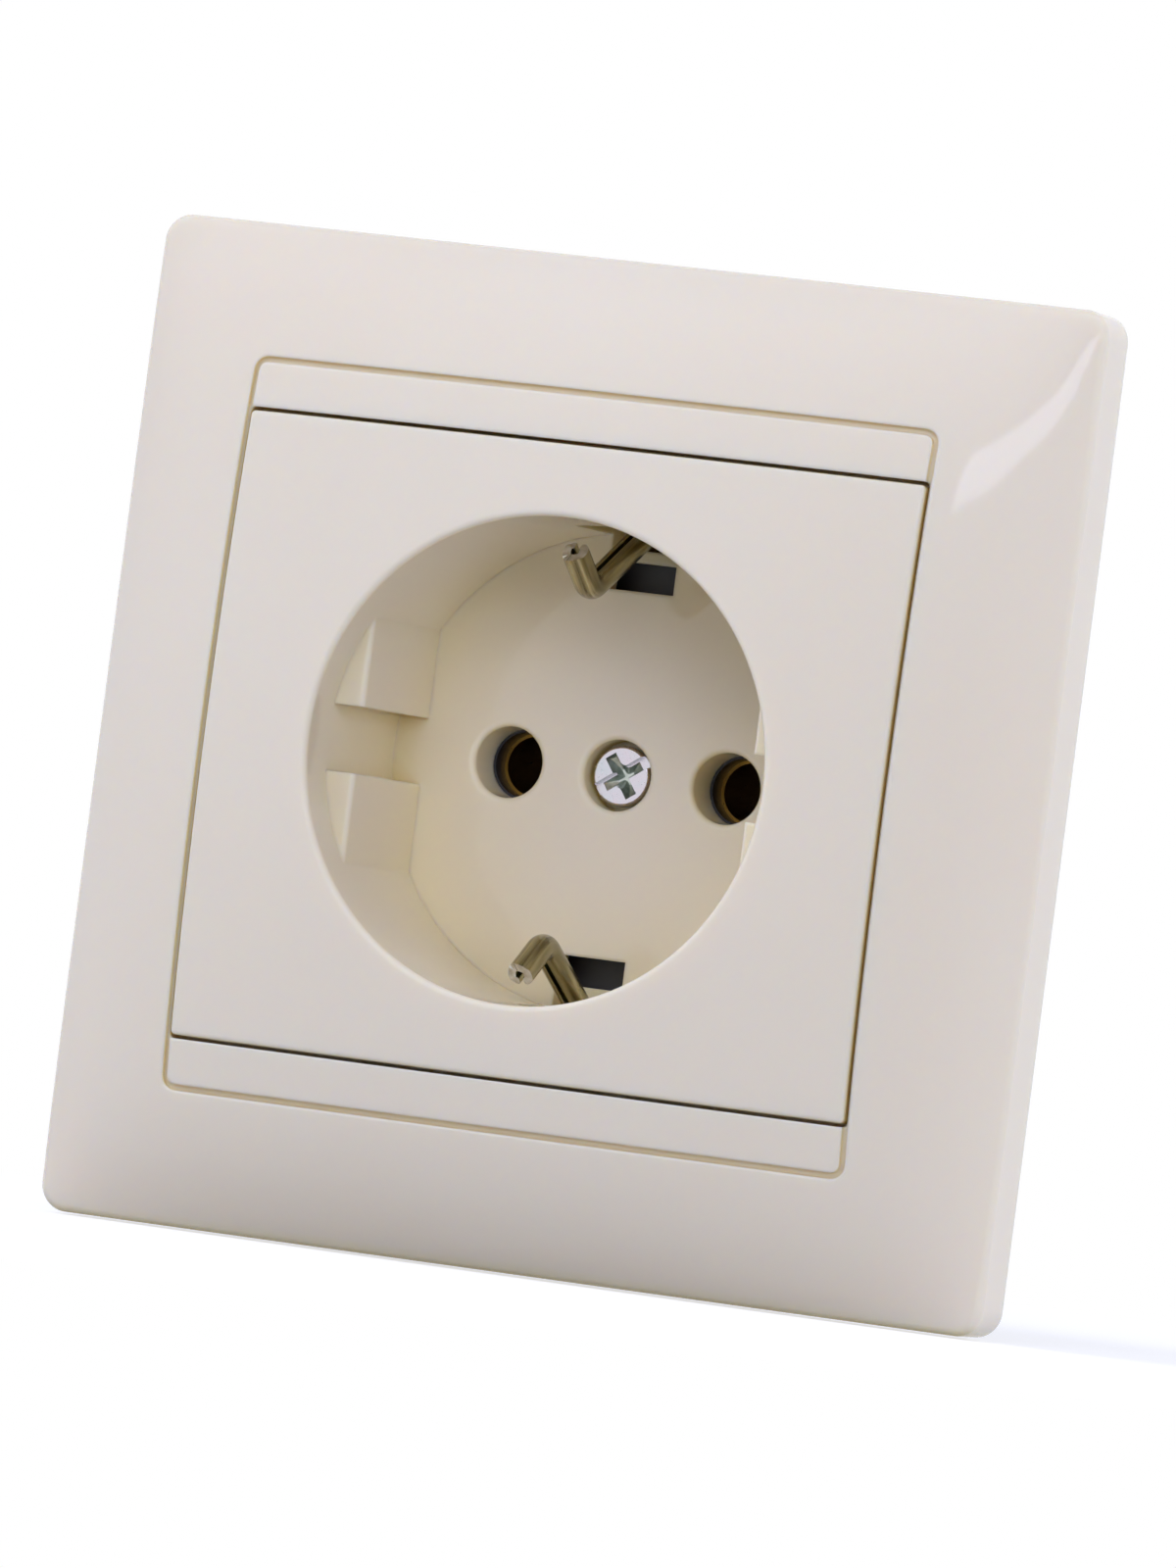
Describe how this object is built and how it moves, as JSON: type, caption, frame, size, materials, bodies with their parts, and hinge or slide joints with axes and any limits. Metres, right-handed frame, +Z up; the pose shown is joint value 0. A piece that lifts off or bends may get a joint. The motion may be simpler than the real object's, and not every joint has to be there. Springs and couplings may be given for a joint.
{
  "type": "wall socket outlet",
  "caption": "Flush wall socket with a round recessed well, side earth springs, square domed frame, steel mounting plate and a rear terminal block.",
  "frame": {"origin": "well axis at the wall plane, on the back face of the mounting plate", "axes": "+Z up, +Y into the wall, -Y towards the room, +X to the right seen from the room"},
  "size_m": [0.0816, 0.04, 0.0816],
  "materials": {
    "cream_plastic": "gloss",
    "black_plastic": "satin",
    "zinc_steel": "zinc plated",
    "spring_steel": "satin",
    "nickel_plate": "nickel plated brass",
    "brass": "stamped"
  },
  "bodies": {
    "socket": {"outer_frame": "cream_plastic", "cover": "cream_plastic", "mounting_plate": "zinc_steel", "base": "black_plastic", "rear_cover": "black_plastic", "yoke_rivets": "zinc_steel", "rear_screws": "zinc_steel", "sleeve_left": "brass", "sleeve_right": "brass", "contact_ring_left": "spring_steel", "contact_ring_right": "spring_steel", "earth_bridge": "brass"},
    "screw": {"cover_screw": "zinc_steel"},
    "arm_top": {"earth_arm_top": "nickel_plate"},
    "arm_bottom": {"earth_arm_bottom": "nickel_plate"},
    "clamp_left": {"clamp_screw_left": "zinc_steel"},
    "clamp_right": {"clamp_screw_right": "zinc_steel"},
    "clamp_earth": {"clamp_screw_earth": "zinc_steel"},
    "lift_left": {"cage_left": "zinc_steel"},
    "lift_right": {"cage_right": "zinc_steel"},
    "lift_earth": {"cage_earth": "zinc_steel"}
  },
  "joints": [
    {"name": "cover_screw_turn", "type": "hinge", "parent": "socket", "child": "screw", "pos_m": [0, 0.009, 0], "axis": [0, -1, 0], "range_deg": [0, 2880]},
    {"name": "earth_top_spring", "type": "hinge", "parent": "socket", "child": "arm_top", "pos_m": [0, 0.0123, 0.0204], "axis": [-1, 0, 0], "range_deg": [0, 4.4], "stiffness_Nm_per_rad": 1},
    {"name": "earth_bottom_spring", "type": "hinge", "parent": "socket", "child": "arm_bottom", "pos_m": [0, 0.0123, -0.0204], "axis": [1, 0, 0], "range_deg": [0, 4.4], "stiffness_Nm_per_rad": 1},
    {"name": "clamp_left_turn", "type": "hinge", "parent": "socket", "child": "clamp_left", "pos_m": [-0.0095, 0.0184, 0.02], "axis": [0, 0, -1], "range_deg": [0, 1562]},
    {"name": "cage_left_rise", "type": "slide", "parent": "socket", "child": "lift_left", "axis": [0, 0, 1], "range_m": [0, 0.0026]},
    {"name": "clamp_right_turn", "type": "hinge", "parent": "socket", "child": "clamp_right", "pos_m": [0.0095, 0.0184, 0.02], "axis": [0, 0, -1], "range_deg": [0, 1562]},
    {"name": "cage_right_rise", "type": "slide", "parent": "socket", "child": "lift_right", "axis": [0, 0, 1], "range_m": [0, 0.0026]},
    {"name": "clamp_earth_turn", "type": "hinge", "parent": "socket", "child": "clamp_earth", "pos_m": [0.0095, 0.0184, -0.02], "axis": [0, 0, 1], "range_deg": [0, 1562]},
    {"name": "cage_earth_rise", "type": "slide", "parent": "socket", "child": "lift_earth", "axis": [0, 0, -1], "range_m": [0, 0.0026]}
  ],
  "couplings": [
    {"joint": "clamp_left_turn", "follows": "cage_left_rise", "rad_per_m": 10472},
    {"joint": "clamp_right_turn", "follows": "cage_right_rise", "rad_per_m": 10472},
    {"joint": "clamp_earth_turn", "follows": "cage_earth_rise", "rad_per_m": 10472}
  ]
}
